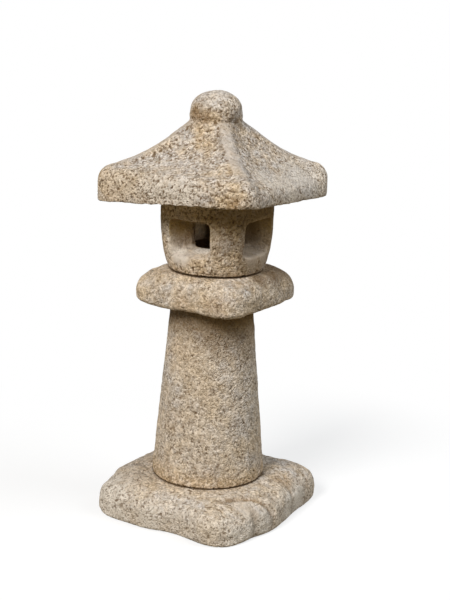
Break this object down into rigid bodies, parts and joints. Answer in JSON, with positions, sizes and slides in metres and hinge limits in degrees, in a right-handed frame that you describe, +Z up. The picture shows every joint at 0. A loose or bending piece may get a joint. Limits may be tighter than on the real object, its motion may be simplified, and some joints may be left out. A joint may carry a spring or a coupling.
{
  "type": "stone garden lantern",
  "caption": "Free-standing garden lantern of stacked cast stones: rough square base, tapered round post, soft square platform, windowed light chamber and a hipped roof with a round knob.",
  "frame": {"origin": "on the ground, under the middle of the base", "axes": "+Z up the stack; the chamber's windows face along +X, -X, +Y and -Y, and the pictured front is towards -Y"},
  "size_m": [0.4002, 0.3987, 0.9035],
  "materials": {
    "base_stone": "rough, pitted, washed cast stone",
    "post_stone": "rough, pitted, washed cast stone",
    "platform_stone": "rough, pitted, washed cast stone",
    "chamber_stone": "rough, pitted, washed cast stone",
    "roof_stone": "rough, pitted, washed cast stone",
    "dowel_steel": "stainless bar, sawn and bevelled ends"
  },
  "bodies": {
    "base": {"base": "base_stone", "base_dowel": "dowel_steel"},
    "post": {"post": "post_stone", "platform_dowel": "dowel_steel"},
    "platform": {"platform": "platform_stone", "chamber_dowel": "dowel_steel"},
    "light_chamber": {"light_chamber": "chamber_stone"},
    "roof": {"roof": "roof_stone"}
  },
  "joints": [
    {"name": "post_lift", "type": "slide", "parent": "base", "child": "post", "axis": [0, 0, 1], "range_m": [0, 0.12]},
    {"name": "platform_lift", "type": "slide", "parent": "post", "child": "platform", "axis": [0, 0, 1], "range_m": [0, 0.09]},
    {"name": "chamber_lift", "type": "slide", "parent": "platform", "child": "light_chamber", "axis": [0, 0, 1], "range_m": [0, 0.09]},
    {"name": "roof_lift", "type": "slide", "parent": "light_chamber", "child": "roof", "axis": [0, 0, 1], "range_m": [0, 0.16]}
  ]
}
